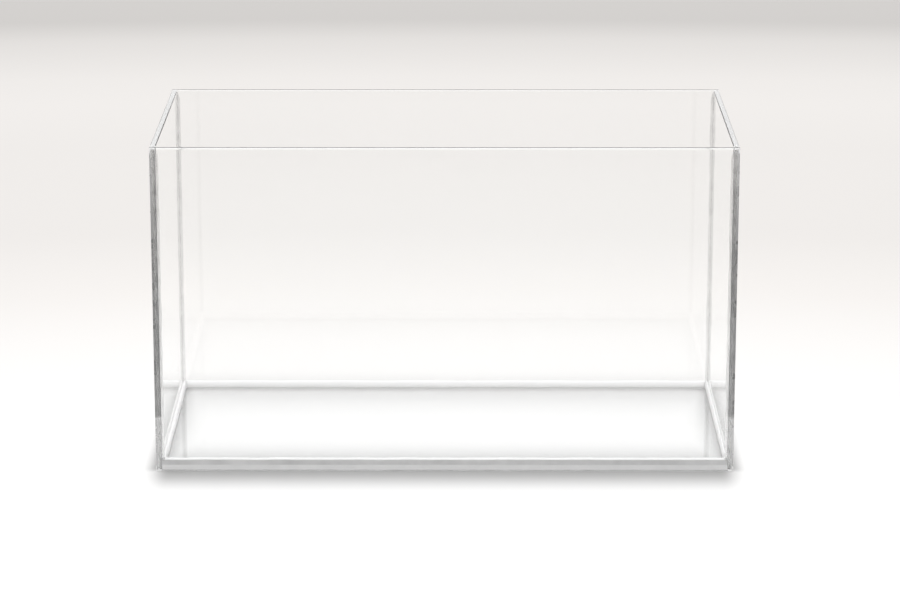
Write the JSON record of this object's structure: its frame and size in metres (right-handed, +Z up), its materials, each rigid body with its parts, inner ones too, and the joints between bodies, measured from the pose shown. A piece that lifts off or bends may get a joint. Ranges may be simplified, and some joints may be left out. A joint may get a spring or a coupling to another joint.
{
  "type": "glass aquarium tank",
  "caption": "Rimless open-top rectangular aquarium tank of clear glass panes, bonded with silicone joints and sealed inside with silicone beads.",
  "frame": {"origin": "middle of the footprint, on the surface the tank stands on", "axes": "+X along the tank's length, to the right seen from the front; +Y from the front pane to the back pane; +Z up"},
  "size_m": [0.6, 0.3, 0.344],
  "materials": {
    "low_iron_glass": "clear float glass with polished edges",
    "clear_silicone": "clear silicone, slightly hazy",
    "milky_silicone": "milky white silicone, tooled smooth"
  },
  "bodies": {
    "root": {"bottom_pane": "low_iron_glass", "front_pane": "low_iron_glass", "back_pane": "low_iron_glass", "left_pane": "low_iron_glass", "right_pane": "low_iron_glass", "joint_front_left": "clear_silicone", "joint_front_right": "clear_silicone", "joint_back_left": "clear_silicone", "joint_back_right": "clear_silicone", "joint_base_front": "clear_silicone", "joint_base_back": "clear_silicone", "joint_base_left": "clear_silicone", "joint_base_right": "clear_silicone", "bead_front_left": "clear_silicone", "bead_front_right": "clear_silicone", "bead_back_left": "clear_silicone", "bead_back_right": "clear_silicone", "bead_base_front": "milky_silicone", "bead_base_back": "milky_silicone", "bead_base_left": "milky_silicone", "bead_base_right": "milky_silicone"}
  },
  "joints": []
}
